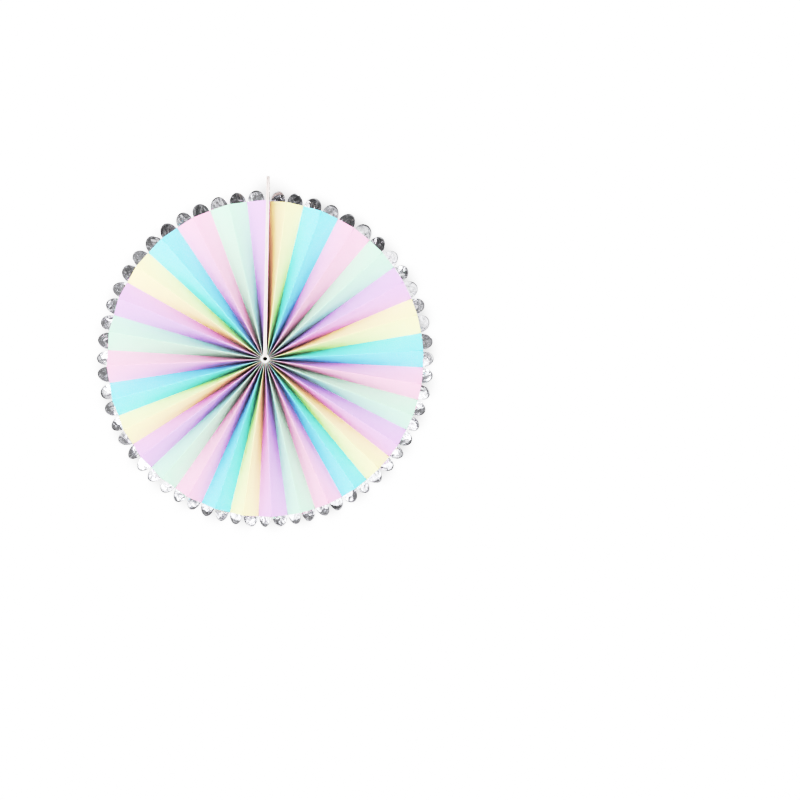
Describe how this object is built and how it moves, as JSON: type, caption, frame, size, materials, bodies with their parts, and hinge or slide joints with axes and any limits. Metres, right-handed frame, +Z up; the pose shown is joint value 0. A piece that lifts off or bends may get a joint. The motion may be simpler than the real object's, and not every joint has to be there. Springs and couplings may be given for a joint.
{
  "type": "paper fan rosette",
  "caption": "Round hanging rosette of pleated paper with a scalloped edge, opened into a disc and closed between two end cards that form a hang tab.",
  "frame": {"origin": "centre of the hang hole, halfway through the tab", "axes": "+Z up, from the hub to the tab; the front faces -Y; +X to the right seen from the front"},
  "size_m": [0.2996, 0.0202, 0.3124],
  "materials": {
    "pleated_paper": "matte",
    "card": "matte",
    "tape": "satin",
    "thread": "matte"
  },
  "bodies": {
    "root": {"pleated_fan": "pleated_paper", "left_end_card": "card", "right_end_card": "card", "adhesive_strip": "tape", "binding_thread": "thread"}
  },
  "joints": []
}
